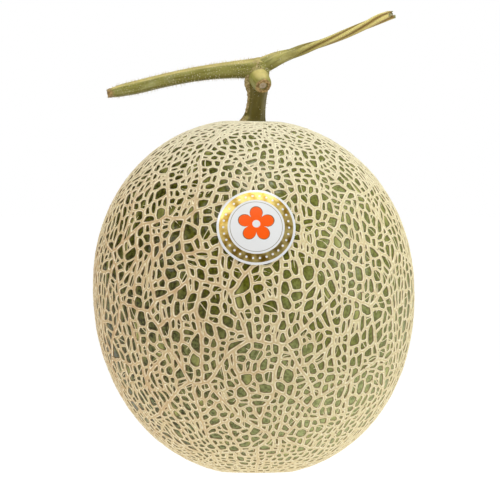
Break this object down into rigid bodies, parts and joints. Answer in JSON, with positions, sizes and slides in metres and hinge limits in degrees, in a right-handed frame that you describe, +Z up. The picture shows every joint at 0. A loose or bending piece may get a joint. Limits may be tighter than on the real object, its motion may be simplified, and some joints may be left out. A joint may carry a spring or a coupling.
{
  "type": "netted muskmelon",
  "caption": "Round netted muskmelon with a raised corky net, resting on its blossom end, with a cut T-shaped piece of vine on top and a round paper label.",
  "frame": {"origin": "middle of the flat blossom scar that the fruit rests on", "axes": "+Z up, from the blossom end to the stalk; +X along the vine towards its dried arm; -Y is the front, the side with the label"},
  "size_m": [0.1552, 0.1554, 0.2217],
  "materials": {
    "rind": "matt corky net over a waxy green skin",
    "vine": "matt, ribbed, green where fresh and straw brown where dry",
    "label_paper": "coated white paper with a gold foil ring"
  },
  "bodies": {
    "root": {"fruit": "rind", "stem": "vine", "label": "label_paper"}
  },
  "joints": []
}
